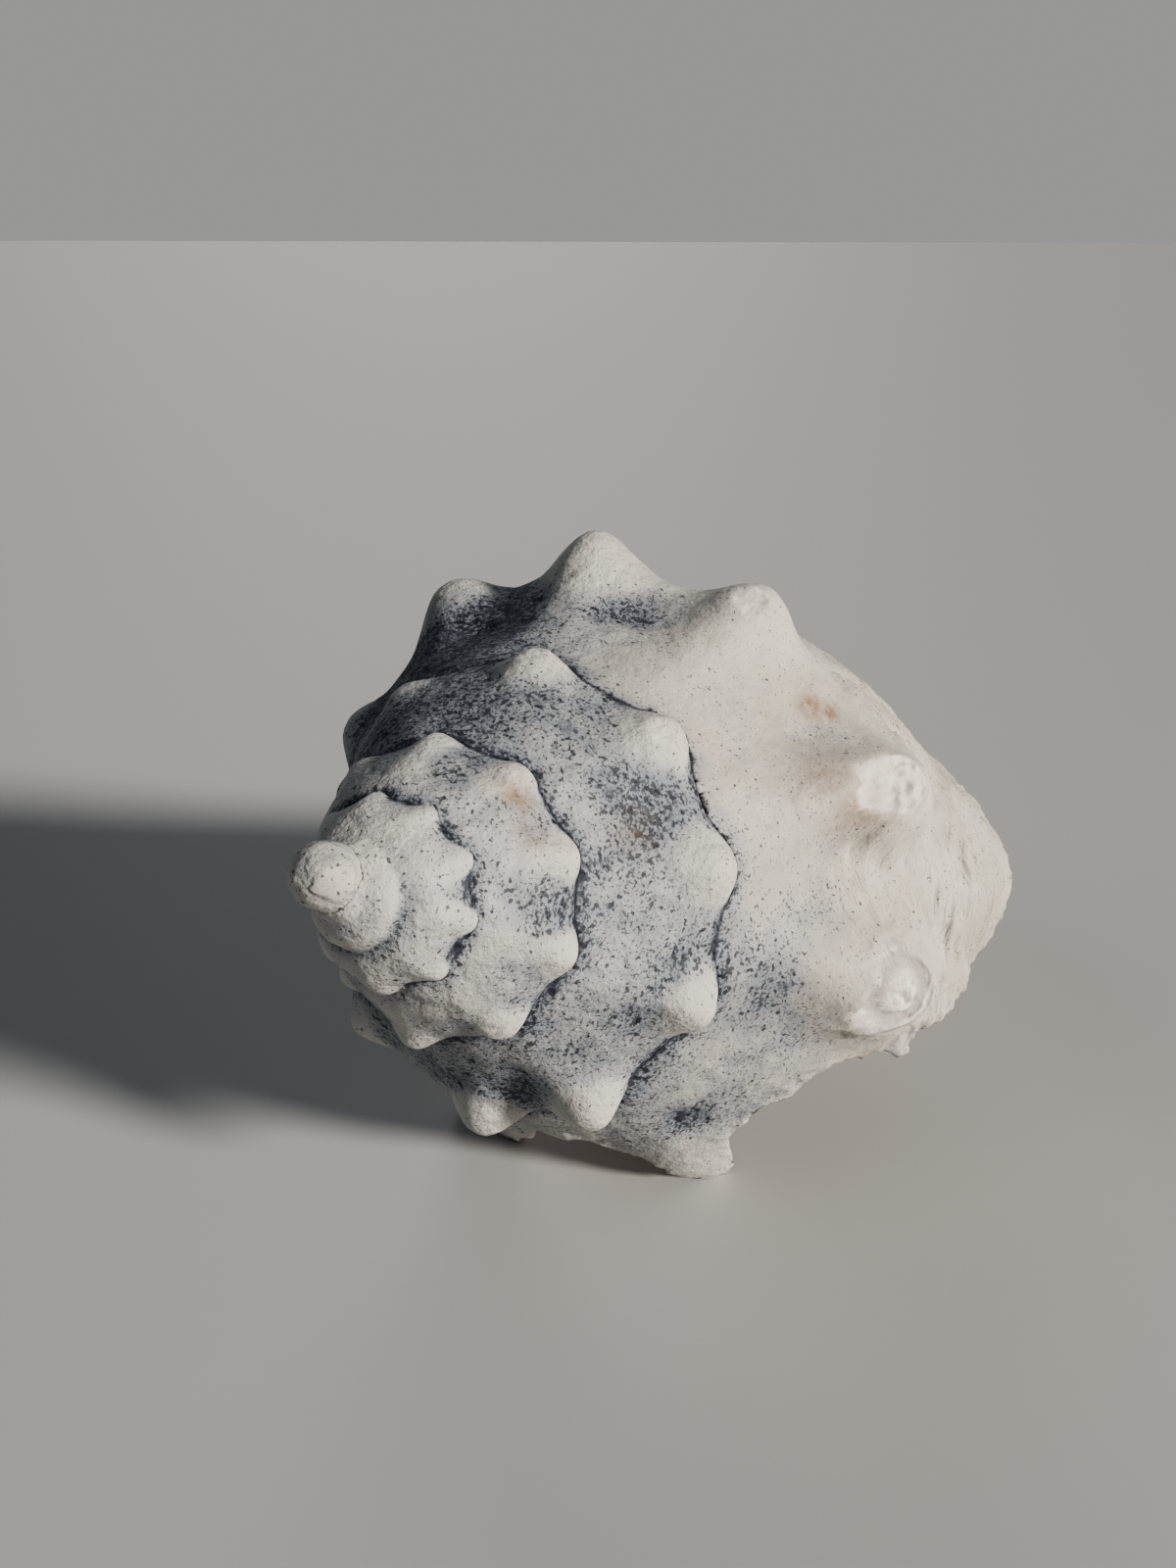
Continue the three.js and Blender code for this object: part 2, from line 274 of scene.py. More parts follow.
def spline(points, t):
    """A Catmull-Rom curve through points of shape (n, ..., 2) at places t, counted in points."""
    n = len(points)
    i = np.clip(np.floor(t).astype(int), 0, n - 2)
    f = (t - i)[:, None, None]
    p0, p1 = points[np.maximum(i - 1, 0)], points[i]
    p2, p3 = points[i + 1], points[np.minimum(i + 2, n - 1)]
    square = 2 * p0 - 5 * p1 + 4 * p2 - p3
    cube = 3 * p1 - p0 - 3 * p2 + p3
    return 0.5 * (2 * p1 + (p2 - p0) * f + square * f**2 + cube * f**3)


def shoulder_radius(angle):
    return SHOULDER_RADIUS * RADIAL_GROWTH ** (-np.asarray(angle) / 360.0)


def shoulder_depth(angle):
    return SHOULDER_DEPTH * AXIAL_GROWTH ** (-np.asarray(angle) / 360.0)


def all_knobs():
    """The knobs read off the photograph, and the older ones at an even step."""
    knobs = list(KNOBS)
    angle = KNOBS[-1][0] + OLD_KNOB_STEP
    while angle < TURNS_BACK * 360:
        knobs.append((angle, 1.0))
        angle += OLD_KNOB_STEP
    return knobs


ALL_KNOBS = all_knobs()


def knob_height(angle):
    """How far the section is a knob's there: 0 in the hollows, about 1 on a knob."""
    angle = np.asarray(angle, float)
    total = 0.0
    for middle, size in ALL_KNOBS:
        half_width = WIDER_KNOBS.get(middle, KNOB_HALF_WIDTH)
        total = total + size * np.exp(-(((angle - middle) / half_width) ** 2))
    return total * (1 - smooth((angle - KNOBS_FADE[0]) / (KNOBS_FADE[1] - KNOBS_FADE[0])))


def body_radius(angle, depth):
    """How far the whorl reaches from the axis at a depth past the shoulder."""
    along = depth / shoulder_depth(angle)
    tapered = curve(BODY, 1 + (along - 1) * curve(TAPER, angle))
    past = depth - shoulder_depth(angle)
    rise = smooth((past - curve(REACH_START, angle)) / curve(REACH_LENGTH, angle))
    core = np.minimum(COLUMELLA_RADIUS, 0.4 * shoulder_radius(angle))
    return np.maximum(shoulder_radius(angle) * tapered * (1 + rise * curve(REACH, angle)), core)


def staged(tables, angle):
    """The table for each angle, blended between stages: an array (angles, points, 2)."""
    place = np.interp(angle, STAGES, range(len(STAGES)))
    i = np.minimum(place.astype(int), len(STAGES) - 2)
    f = (place - i)[:, None, None]
    t = np.array(tables)
    return t[i] * (1 - f) + t[i + 1] * f


def outline(angles, ramp_steps, body_steps, end):
    """Half sections at the angles, from the suture to the canal: an array (angles, points, 2) of [r, w]."""
    hollow = staged(HOLLOWS, angles).transpose(1, 0, 2)
    knobbed = staged(KNOBBED, angles).transpose(1, 0, 2)
    sharp = np.array(KNOB_SHARPNESS)[:, None, None]
    shape = hollow + knob_height(angles)[None, :, None] ** sharp * (knobbed - hollow)
    scale = np.stack([shoulder_radius(angles), shoulder_depth(angles)], 1)[None]
    ramp = spline(shape * scale, np.linspace(0, len(KNOB_SHARPNESS) - 1, ramp_steps))
    start = ramp[-1, :, 1]
    i = np.arange(1, body_steps + 1)[:, None] / body_steps
    depth = start[None, :] + (end - start)[None, :] * i
    body = np.stack([body_radius(angles[None, :], depth), depth], 2)
    step = np.clip((ramp[-1, :, 0] - body[0, :, 0])[None, :], -3, 3)
    body[..., 0] += step * np.exp(-(depth - start) / STEP_FADE)
    return np.concatenate([ramp, body]).transpose(1, 0, 2)


def pressed_side(turn):
    """1 where the coil is pressed in most, falling to 0 on both sides."""
    aside = (turn - PRESSED_TURN + 180.0) % 360.0 - 180.0
    return np.exp(-((aside / PRESSED_WIDTH) ** 2))


def coil_points(angles, section):
    """Points in the shell's own frame: x level, y down, z from apex to canal."""
    turn = CORNER_TURN - angles
    reach = section[..., 0] * (1 - curve(PRESSED, section[..., 1]) * pressed_side(turn)[:, None])
    a = np.radians(turn)[:, None]
    return np.stack([reach * np.cos(a), reach * np.sin(a), section[..., 1]], 2)


def solid(name, rings):
    """A closed mesh object from rings of points, an array (rings, points, 3), with flat ends."""
    n, m = rings.shape[:2]
    i, j = np.meshgrid(np.arange(n - 1), np.arange(m), indexing="ij")
    a = i * m + j
    b = i * m + (j + 1) % m
    quads = np.stack([a, b, b + m, a + m], 2).reshape(-1, 4)
    faces = quads.tolist() + [list(range(m - 1, -1, -1)), list(range((n - 1) * m, n * m))]
    mesh = bpy.data.meshes.new(name)
    mesh.from_pydata(rings.reshape(-1, 3).tolist(), [], faces)
    obj = bpy.data.objects.new(name, mesh)
    bpy.context.scene.collection.objects.link(obj)
    return obj


def coiled(name, angles, section):
    """The solid between the half sections and a line a millimetre off the axis."""
    first = np.stack([np.ones(len(angles)), section[:, 0, 1]], 1)[:, None]
    last = np.stack([np.ones(len(angles)), section[:, -1, 1]], 1)[:, None]
    return solid(name, coil_points(angles, np.concatenate([first, section, last], 1)))


def whorl(name, angles, body_steps, end=None):
    """A stretch of the coil, filled in to the axis, down to a share of the shoulder's depth or the canal."""
    ends = np.full(len(angles), LENGTH) if end is None else shoulder_depth(angles) * end
    return coiled(name, angles, outline(angles, RAMP_STEPS, body_steps, ends))


def offset(section, distance):
    """The half sections moved inwards by the distance."""
    ahead = np.concatenate([section[:, 1:], section[:, -1:]], 1)
    behind = np.concatenate([section[:, :1], section[:, :-1]], 1)
    along = ahead - behind
    along /= np.linalg.norm(along, axis=2)[..., None]
    moved = section.copy()
    moved[..., 0] -= distance * along[..., 1]
    moved[..., 1] += distance * along[..., 0]
    return moved


def cavity():
    """The hollow of the last whorl, a wall's thickness inside its surface, past both of its ends."""
    angles = np.arange(LIP_END - 3, CAVITY_END + 1, CAVITY_STEP)
    ends = np.full(len(angles), LENGTH + 4)
    section = outline(angles, CAVITY_RAMP_STEPS, CAVITY_BODY_STEPS, ends)
    return coiled("cavity", angles, offset(section, WALL)[:, 3:])


def broken_away():
    """Everything past the broken lip's edge."""
    angles = np.arange(LIP_EDGE[0][0] - 2, LIP_EDGE[-1][0], 1.0)
    edge = curve(LIP_EDGE, angles) + LIP_RIPPLE * np.sin(angles * 0.55) * np.sin(angles * 0.21 + 1)
    radii = np.array([0.5, 15, *np.arange(30, 76, 1.5), 100])
    r = np.repeat(radii[None], len(angles), 0)
    w = edge[:, None] + LIP_LEAN - LIP_LEAN * smooth((r - 15) / 85)
    near = np.stack([r, w], 2)
    far = np.array([[100.0, LENGTH + 30], [0.5, LENGTH + 30]])[None].repeat(len(angles), 0)
    return solid("broken", coil_points(angles, np.concatenate([near, far], 1)))


def taper(name, rings, turn, sides):
    """A tapering round solid along the axis from rings of (depth, radius, distance off the axis)."""
    direction = math.radians(turn)
    t = np.arange(sides) * 2 * math.pi / sides
    stack = [
        np.stack([
            off * math.cos(direction) + radius * np.cos(t),
            off * math.sin(direction) + radius * np.sin(t),
            np.full(sides, float(depth)),
        ], 1)
        for depth, radius, off in rings
    ]
    return solid(name, np.array(stack)[:, ::-1])


def dome():
    """The blunt first whorl at the apex."""
    rings = []
    for polar in np.linspace(0.04, math.pi - 0.04, DOME_RINGS):
        t = np.arange(DOME_SIDES) * 2 * math.pi / DOME_SIDES
        x = APEX_PLACE[0] + APEX_RADIUS * math.sin(polar) * np.cos(t)
        y = APEX_PLACE[1] + APEX_RADIUS * math.sin(polar) * np.sin(t)
        z = np.full(DOME_SIDES, APEX_PLACE[2] - APEX_RADIUS * math.cos(polar))
        rings.append(np.stack([x, y, z], 1))
    return solid("dome", np.array(rings)[:, ::-1])


def boolean(target, tool, operation):
    """Joins the tool to the target or cuts it away, and removes the tool."""
    modifier = target.modifiers.new("join", "BOOLEAN")
    modifier.operation = operation
    modifier.object = tool
    modifier.solver = "MANIFOLD"
    depsgraph = bpy.context.evaluated_depsgraph_get()
    mesh = bpy.data.meshes.new_from_object(target.evaluated_get(depsgraph))
    target.modifiers.clear()
    old = target.data
    target.data = mesh
    bpy.data.meshes.remove(old)
    bpy.data.objects.remove(tool)


def evenly(start, stop, step):
    """Angles from a hair before the start to the stop, so that each stretch bites into the one before."""
    return np.linspace(start - SEAM_BITE, stop, int(math.ceil((stop - start) / step)) + 1)


def shell_object():
    """The whole shell before it is worn."""
    front = evenly(LIP_END, FRONT_END, FRONT_STEP)
    back = evenly(FRONT_END, LAST_WHORL_END, BACK_STEP)[1:]
    last = whorl("shell_surface", np.concatenate([front, back]), BODY_STEPS)
    boolean(last, cavity(), "DIFFERENCE")
    boolean(last, broken_away(), "DIFFERENCE")
    second = evenly(LAST_WHORL_END, SECOND_WHORL_END, SECOND_STEP)
    boolean(last, whorl("whorl", second, BODY_STEPS), "UNION")
    for start, stop, step in OLDER_WHORLS:
        older = whorl("whorl", evenly(start, stop, step), OLDER_BODY_STEPS, OLDER_REACH)
        boolean(last, older, "UNION")
    boolean(last, dome(), "UNION")
    boolean(last, taper("core", CORE, turn=0, sides=32), "UNION")
    boolean(last, taper("beak", BEAK, BEAK_TURN, sides=60), "UNION")
    boolean(last, taper("canal", CANAL, CANAL_TURN, sides=40), "DIFFERENCE")
    refine(last)
    return last


def refine(obj):
    """Closes the hairlines between stretches, and adds points on the lip's edge and on the broken knobs."""
    bm = bmesh.new()
    bm.from_mesh(obj.data)
    bmesh.ops.remove_doubles(bm, verts=bm.verts, dist=WELD)
    bmesh.ops.dissolve_degenerate(bm, dist=SHORTEST, edges=bm.edges)
    seen = {}
    for face in bm.faces:
        seen.setdefault(frozenset(v.index for v in face.verts), []).append(face)
    doubled = [face for same in seen.values() if len(same) > 1 for face in same]
    bmesh.ops.delete(bm, geom=doubled, context="FACES")
    split_large_faces(bm)
    for spread, lip_too in HALVINGS:
        bm.verts.ensure_lookup_table()
        points = np.array([v.co for v in bm.verts])
        near = np.zeros(len(points), bool)
        for angle, along, _, deep, *_ in SCARS:
            near |= away_from(points, angle, along) < spread * min(1, deep / FULL_SCAR)
        if lip_too:
            near |= lip_nearness(points) > 0.5
        edges = [e for e in bm.edges if near[e.verts[0].index] and near[e.verts[1].index]]
        edges = [e for e in edges if e.calc_length() > LONGEST]
        bmesh.ops.subdivide_edges(bm, edges=edges, cuts=1, use_grid_fill=True)
        split_large_faces(bm)
        bm.verts.index_update()
    bmesh.ops.delete(bm, geom=loose_parts(bm), context="VERTS")
    bmesh.ops.holes_fill(bm, edges=[e for e in bm.edges if e.is_boundary], sides=16)
    split_large_faces(bm)
    bm.to_mesh(obj.data)
    bm.free()


def split_large_faces(bm):
    """Cuts every face with more than four corners into triangles."""
    bmesh.ops.triangulate(bm, faces=[f for f in bm.faces if len(f.verts) > 4])


def loose_parts(bm):
    """The vertices of everything but the largest connected part."""
    left = set(bm.verts)
    parts = []
    while left:
        part = [left.pop()]
        for vert in part:
            for edge in vert.link_edges:
                other = edge.other_vert(vert)
                if other in left:
                    left.remove(other)
                    part.append(other)
        parts.append(part)
    parts.sort(key=len)
    return [vert for part in parts[:-1] for vert in part]


def lip_nearness(points):
    """1 on the broken lip edge, falling to 0 away from it."""
    spot = locate(points)
    first = (spot["angle"] - LIP_END) % 360.0 + LIP_END
    edge = curve(LIP_EDGE, np.minimum(first, LIP_EDGE[-1][0]))
    reach = outer_radius(first, spot["w"])
    off = np.hypot(edge - spot["w"], 0.7 * np.maximum(np.abs(reach - spot["r"]) - WALL, 0))
    return np.where(first < LIP_EDGE[-1][0] - 3, np.exp(-((off / 2.2) ** 2)), 0)


def knob_tip(angle, along):
    """Where the knob at the angle ends, and the way it points, level with the axis."""
    turn = math.radians(CORNER_TURN - angle)
    out = np.array([math.cos(turn), math.sin(turn), 0.0])
    depth = along * float(shoulder_depth(angle))
    reach = float(outer_radius(np.array([angle]), np.array([depth]))[0])
    return out * reach + np.array([0, 0, depth]), out


def away_from(points, angle, along):
    """How far the points are from a place on the surface, given by angle and depth against the shoulder."""
    return np.linalg.norm(points - knob_tip(angle, along)[0], axis=1)


def swell(points, angle, along, radius):
    """1 at a place on the surface, falling to 0 around it."""
    return np.exp(-((away_from(points, angle, along) / radius) ** 2))


def lattice_noise(points, seed):
    """Smooth gradient noise in about -1..1 at points of shape (n, 3)."""
    rng = np.random.default_rng(seed)
    slopes = rng.normal(size=(256, 3))
    slopes /= np.linalg.norm(slopes, axis=1)[:, None]
    order = rng.permutation(256)
    cell = np.floor(points).astype(int)
    f = points - cell
    fade = f**3 * (f * (f * 6 - 15) + 10)
    total = np.zeros(len(points))
    for dx in (0, 1):
        for dy in (0, 1):
            for dz in (0, 1):
                corner = np.array([dx, dy, dz])
                c = (cell + corner) & 255
                index = order[(order[(order[c[:, 0]] + c[:, 1]) & 255] + c[:, 2]) & 255]
                weight = np.prod(np.where(corner, fade, 1 - fade), 1)
                total += weight * np.sum(slopes[index] * (f - corner), 1)
    return total * 1.6


def rough(points, size, octaves, seed):
    """Layered noise whose coarsest waves are about size across."""
    total = np.zeros(len(points))
    for k in range(octaves):
        total += lattice_noise(points * (2**k / size) + 17.3 * k, seed + k) / 2**k
    return total


def spots(points, size, seed):
    """Distance to the nearest of points scattered about one per cell of the size, in cells."""
    rng = np.random.default_rng(seed)
    jitter = rng.random((256, 3))
    order = rng.permutation(256)
    q = points / size
    cell = np.floor(q).astype(int)
    best = np.full(len(points), 9.0)
    for dx in (-1, 0, 1):
        for dy in (-1, 0, 1):
            for dz in (-1, 0, 1):
                c = cell + np.array([dx, dy, dz])
                w = c & 255
                index = order[(order[(order[w[:, 0]] + w[:, 1]) & 255] + w[:, 2]) & 255]
                best = np.minimum(best, np.linalg.norm(c + jitter[index] - q, axis=1))
    return best


def ramp_reach(tables, angle, along):
    """The radius, as a share of the shoulder's, that staged tables give at the depth."""
    place = np.interp(angle, STAGES, range(len(STAGES)))
    t = np.linspace(0, len(KNOB_SHARPNESS) - 1, 300)
    total = np.zeros(np.shape(along))
    for k, table in enumerate(tables):
        fine = spline(np.array(table)[:, None, :], t)[:, 0]
        total += np.clip(1 - np.abs(place - k), 0, 1) * np.interp(along, fine[:, 1], fine[:, 0])
    return total


def outer_radius(angle, depth):
    """How far the whorl at the angle reaches from the axis at the depth."""
    R, W = shoulder_radius(angle), shoulder_depth(angle)
    along = depth / W
    levels = np.array(HOLLOWS[0])[:, 1]
    knob = knob_height(angle)
    sharp = knob ** np.interp(along, levels, KNOB_SHARPNESS)
    low = ramp_reach(HOLLOWS, angle, along)
    high = ramp_reach(KNOBBED, angle, along)
    ramp = R * (low + sharp * (high - low))
    start = W * (1.12 + 0.02 * knob)
    low = ramp_reach(HOLLOWS, angle, np.full(np.shape(along), 1.12))
    high = ramp_reach(KNOBBED, angle, np.full(np.shape(along), 1.14))
    ramp_end = R * (low + knob ** KNOB_SHARPNESS[-1] * (high - low))
    step = np.clip(ramp_end - body_radius(angle, start), -3, 3)
    body = body_radius(angle, depth) + step * np.exp(-np.maximum(depth - start, 0) / STEP_FADE)
    begin = np.interp(angle, STAGES, [table[0][1] for table in HOLLOWS])
    return np.where(along < begin, 0.0, np.where(depth < start, ramp, body))


def locate(points):
    """For points in the shell's frame: where on the coil they lie, and how near to a suture."""
    x, y, w = points.T
    turn = np.degrees(np.arctan2(y, x))
    r = np.hypot(x, y) / (1 - curve(PRESSED, w) * pressed_side(turn))
    first = (CORNER_TURN - turn - LIP_END) % 360.0 + LIP_END
    reach = np.array([outer_radius(first + 360 * k, w) for k in range(6)])
    best = reach.argmax(0)
    ranked = np.sort(reach, 0)
    angle = first + 360.0 * best
    return {
        "angle": angle,
        "r": r,
        "w": w,
        "along": w / shoulder_depth(angle),
        "gap": ranked[-1] - ranked[-2],
        "sunk": ranked[-1] - r,
        "knob": knob_height(angle),
    }


def mesh_arrays(mesh):
    """The mesh's points, the ends of its edges, and its normals, each face counting by its area."""
    n = len(mesh.vertices)
    points = np.empty(n * 3)
    mesh.vertices.foreach_get("co", points)
    edges = np.empty(len(mesh.edges) * 2, int)
    mesh.edges.foreach_get("vertices", edges)
    points = points.reshape(n, 3)
    mesh.calc_loop_triangles()
    corners = np.empty(len(mesh.loop_triangles) * 3, int)
    mesh.loop_triangles.foreach_get("vertices", corners)
    corners = corners.reshape(-1, 3)
    a, b, c = points[corners].transpose(1, 0, 2)
    area = np.cross(b - a, c - a)
    normals = np.stack([
        sum(np.bincount(corners[:, i], area[:, k], n) for i in range(3)) for k in range(3)
    ], 1)
    normals /= np.maximum(np.linalg.norm(normals, axis=1), 1e-9)[:, None]
    return points, edges.reshape(-1, 2), normals


def averaged(values, edges, times, share=None):
    """Values (n, k) each moved towards the mean of their neighbours, times over, by a share per vertex."""
    n = len(values)
    count = np.bincount(edges.ravel(), minlength=n).astype(float)
    starts, stops = edges.T
    out = values.copy()
    for _ in range(times):
        total = np.stack([
            np.bincount(starts, column[stops], n) + np.bincount(stops, column[starts], n)
            for column in out.T
        ], 1)
        mean = total / np.maximum(count, 1)[:, None]
        out = mean if share is None else out + share[:, None] * (mean - out)
    return out


def softened(values, edges, times, share):
    """As averaged, but swollen back after each step, so that nothing shrinks."""
    for _ in range(times):
        values = averaged(values, edges, 1, share)
        values = averaged(values, edges, 1, -1.03 * share)
    return values


def store(mesh, name, values):
    """Writes one value per point, for the material to read."""
    attribute = mesh.attributes.new(name, "FLOAT", "POINT")
    attribute.data.foreach_set("value", np.ascontiguousarray(values, float))


def scar(points, angle, along, tilt, cut, roughness, ringed, seed):
    """A broken knob tip: the points moved onto a cut, and how chalky and how grey the break leaves them."""
    tip, out = knob_tip(angle, along)
    aim = out * math.cos(math.radians(tilt)) - np.array([0, 0, math.sin(math.radians(tilt))])
    near = np.linalg.norm(points - tip, axis=1) < SCAR_REACH
    high = (points - tip) @ aim
    top = high[near].max()
    over = np.where(near, high - (top - cut), -1)
    inside = over > 0
    side = np.cross(aim, (0, 0, 1))
    side /= np.linalg.norm(side)
    flat = np.stack([(points - tip) @ side, (points - tip) @ np.cross(aim, side)], 1)
    facet = inside & (over < 0.999 * cut)
    centre = (flat[facet].max(0) + flat[facet].min(0)) / 2
    spread = (flat[facet].max(0) - flat[facet].min(0)) / 2
    ring = np.hypot(*((flat - centre) / spread).T) + 0.05 * rough(points, 3.0, 2, seed + 7)
    plates = 0.5 - spots(points, 2.1, seed + 3)
    uneven = roughness * (0.5 * rough(points, 2.2, 3, seed) + 0.8 * plates)
    rim = np.exp(-(((ring - RING) / RING_WIDTH) ** 2))
    heart = smooth((HEART - ring) / HEART_WIDTH)
    level = uneven * (1 - 0.8 * ringed * (1 - heart) * (1 - rim))
    crumb = 0.7 + 0.6 * rough(points, 1.3, 2, seed + 5)
    level += ringed * (0.55 * rim * crumb + heart * crumb - 0.3)
    fit = np.where(inside, -over + smooth(over / 0.5) * level, 0)
    moved = points + fit[:, None] * aim
    broken = np.where(inside, smooth(over / 0.4), 0)
    chalk = broken * np.where(ringed > 0, np.clip(rim + heart, 0, 1), np.clip(0.6 + plates, 0, 1))
    grey = ringed * broken * np.clip(1 - rim - heart, 0, 1)
    return moved, chalk, grey


def stains_and_painted_shade(points):
    """How brown the points are, with ragged edges: stains, and painted shade beside the knob at 80."""
    total = np.zeros(len(points))
    ragging = 1 + 0.35 * rough(points, 2.5, 2, 91)
    for angle, along, radius, strength in STAINS_AND_PAINTED_SHADE:
        ragged = away_from(points, angle, along) * ragging
        total = np.maximum(total, strength * np.exp(-((ragged / radius) ** 2)))
    return total


def worn_down(points, edges, w, cut_side):
    """The lip's edge and the spire worn, the beak softened and the apex rounded."""
    share = np.clip(cut_side * 0.6 + smooth((11 - w) / 5) * 0.5, 0, 0.6)
    points = averaged(points, edges, 3, share)
    points = softened(points, edges, 24, 0.5 * smooth((w - 122) / 14))
    return averaged(points, edges, 24, 0.5 * smooth((9 - w) / 3))


def broken_knobs(points):
    """The points with every scar cut, and how chalky and how grey the breaks leave them."""
    chalk = np.zeros(len(points))
    grey = np.zeros(len(points))
    for k, row in enumerate(SCARS):
        points, chalky, greyed = scar(points, *row, 200 + 10 * k)
        chalk = np.maximum(chalk, chalky)
        grey = np.maximum(grey, greyed)
    return points, chalk, grey


def cord_cover(points, angle, along):
    """How fully growth cords cover the points: past the shoulder beside the two broken knobs."""
    begin = np.interp(angle, [72, 88], [0.79, 1.03])
    corded = smooth((along - begin) / 0.08) * smooth((angle - 30) / 12) * smooth((118 - angle) / 18)
    for row, spread in zip(SCARS, CORDS_CLEAR):
        corded = corded * (1 - 0.95 * smooth((spread - away_from(points, row[0], row[1])) / 3))
    return corded


def relief(points, travel, past, corded):
    """How far cords, growth lines, lumps, pits and dents stand out of the surface."""
    level = np.zeros(len(points))
    flow = np.stack([travel / 13.0, past / 2.8, level], 1)
    flow[:, 1] += rough(np.stack([travel / 22, past / 22, level], 1), 1, 2, 31) * 1.6
    cords = corded * (0.9 - 2.2 * np.abs(rough(flow, 1.0, 2, 41)))
    faint = (1 - corded) * 0.07 * rough(flow, 1.0, 2, 47)
    lumps = 0.42 * rough(points, 13, 2, 51) + 0.13 * rough(points, 3.6, 2, 57)
    pits = -0.3 * smooth((0.26 - spots(points, 3.1, 61)) / 0.2) * smooth(rough(points, 16, 1, 63) + 0.45)
    for angle, along, radius, deep in DENTS:
        lumps = lumps - deep * swell(points, angle, along, radius)
    return cords + faint + lumps + pits


def hollowness(points, edges, normals, size):
    """How far the points lie below their surroundings, for the size of their whorl."""
    dip = np.sum((averaged(points, edges, 24) - points) * normals, 1)
    return averaged(dip[:, None], edges, 2)[:, 0] / np.clip(size / 40, 0.3, 1)


def growth_and_painted_shade_cover(points, angle, spire):
    """How thick the blue-grey growth lies on the points, with painted shade from the patch at 172 in the
    hollow beside the knob at 180.
    """
    shade = np.interp(angle, *np.array(GROWTH).T) * (1 - spire) + 0.45 * spire
    # Each patch adds growth; the patch at 172 adds painted shade
    for patch_angle, along, radius, more in PATCHES:
        shade = shade + more * swell(points, patch_angle, along, radius)
    return shade


def unrolled(spot):
    """Places on the unrolled surface: how far along the coil, and how far past the shoulder."""
    travel = -shoulder_radius(spot["angle"]) * 360 / math.log(RADIAL_GROWTH) * math.pi / 180
    return travel, spot["w"] - shoulder_depth(spot["angle"])


def weather(mesh):
    """Wears the surface and writes what the shell's colours depend on."""
    points, edges, normals = mesh_arrays(mesh)
    spot = locate(points)
    angle, along, w = spot["angle"], spot["along"], spot["w"]
    spire = smooth((7 - w) / 3)
    outside = np.maximum(smooth(1.9 - np.abs(spot["sunk"])), spire)
    outside = np.maximum(outside, smooth((w - 124) / 12))
    cut_side = lip_nearness(points)

    points = worn_down(points, edges, w, cut_side)
    points, chalk, grey = broken_knobs(points)
    corded = cord_cover(points, angle, along)
    strength = outside * (1 - 0.8 * chalk) * np.clip(shoulder_radius(angle) / 30, 0.35, 1)
    shift = strength * relief(points, *unrolled(spot), corded)
    shift += cut_side * 0.45 * rough(points, 2.4, 3, 71)
    shift += (1 - outside) * 0.15 * rough(points, 14, 1, 75)
    points = points + normals * shift[:, None]
    mesh.vertices.foreach_set("co", points.ravel())
    mesh.update()
    mark(mesh, spot, outside, spire, corded, chalk, grey)


def mark(mesh, spot, outside, spire, corded, chalk, grey):
    """Writes what the shell's colours depend on, one value per point of the worn surface."""
    points, edges, normals = mesh_arrays(mesh)
    angle, along, w = spot["angle"], spot["along"], spot["w"]
    size = shoulder_radius(angle)
    fresh = smooth((size - 7) / 8) * (1 - spire)
    suture = np.exp(-((spot["gap"] / (0.05 * size)) ** 2)) * fresh
    crack = np.exp(-((spot["gap"] / 0.4) ** 2)) * fresh
    bare = spot["knob"] * np.exp(-(((along - 0.99) / 0.1) ** 2))
    clean = 1 - 0.95 * smooth((w - 106) / 22)
    shade = growth_and_painted_shade_cover(points, angle, spire) * (1 - 0.85 * corded) * clean
    age = np.maximum(smooth((angle - 95) / 60), 0.7 * smooth((45 - angle) / 30))
    calmer = smooth((angle - 52) / 10) * smooth((114 - angle) / 10)
    dip = clean * hollowness(points, edges, normals, size) * (1 - spire) * (1 - corded)
    dip = dip * (1 - 0.6 * calmer) * (1 - 0.45 * smooth((60 - angle) / 10))
    marks = {
        "outside": outside,
        "dip": dip,
        "suture": clean * suture * outside * (1 - 0.6 * smooth((angle - 640) / 120)),
        "crack": clean * crack * outside,
        "bare": np.clip(bare, 0, 1.2) * outside,
        "shade": shade * outside,
        "chalk": chalk,
        "grey": grey,
        "age": age * outside,
        "corded": np.maximum(corded, 0.12 * fresh) * outside,
        "stain_and_painted_shade": stains_and_painted_shade(points),
    }
    for name, values in marks.items():
        store(mesh, name, values)
    flow = np.stack([*unrolled(spot), np.zeros(len(points))], 1)
    mesh.attributes.new("flow", "FLOAT_VECTOR", "POINT").data.foreach_set("vector", flow.ravel())


def lay(mesh):
    """Turns the mesh from the shell's own frame into the scene's, resting on the floor."""
    drop = math.radians(AXIS_DROP)
    across = Vector((1, 0, 0))
    down = Vector((0, -math.sin(drop), -math.cos(drop)))
    along = Vector((0, math.cos(drop), -math.sin(drop)))
    turned = Matrix((across, down, along)).transposed().to_4x4()
    mesh.transform(Matrix.Scale(MM, 4) @ Matrix.Translation(Vector(APEX)) @ turned)
    for vert in mesh.vertices:
        vert.co.z = max(vert.co.z, 0.0)


def make_camera():
    camera = bpy.data.cameras.new("camera")
    camera.sensor_fit = "VERTICAL"
    camera.sensor_height = SENSOR_HEIGHT
    camera.lens = CAMERA_LENS
    obj = bpy.data.objects.new("camera", camera)
    bpy.context.scene.collection.objects.link(obj)
    obj.location = CAMERA_PLACE
    obj.rotation_euler = (math.radians(90 - CAMERA_PITCH), 0, math.radians(CAMERA_TURN))
    bpy.context.scene.camera = obj


def make_floor():
    bpy.ops.mesh.primitive_plane_add(size=FLOOR_SIZE)
    floor = bpy.context.object
    floor.name = "floor"
    material = bpy.data.materials.new("floor")
    material.use_nodes = True
    shader = material.node_tree.nodes["Principled BSDF"]
    shader.inputs["Base Color"].default_value = FLOOR_COLOUR
    shader.inputs["Roughness"].default_value = 0.6
    floor.data.materials.append(material)


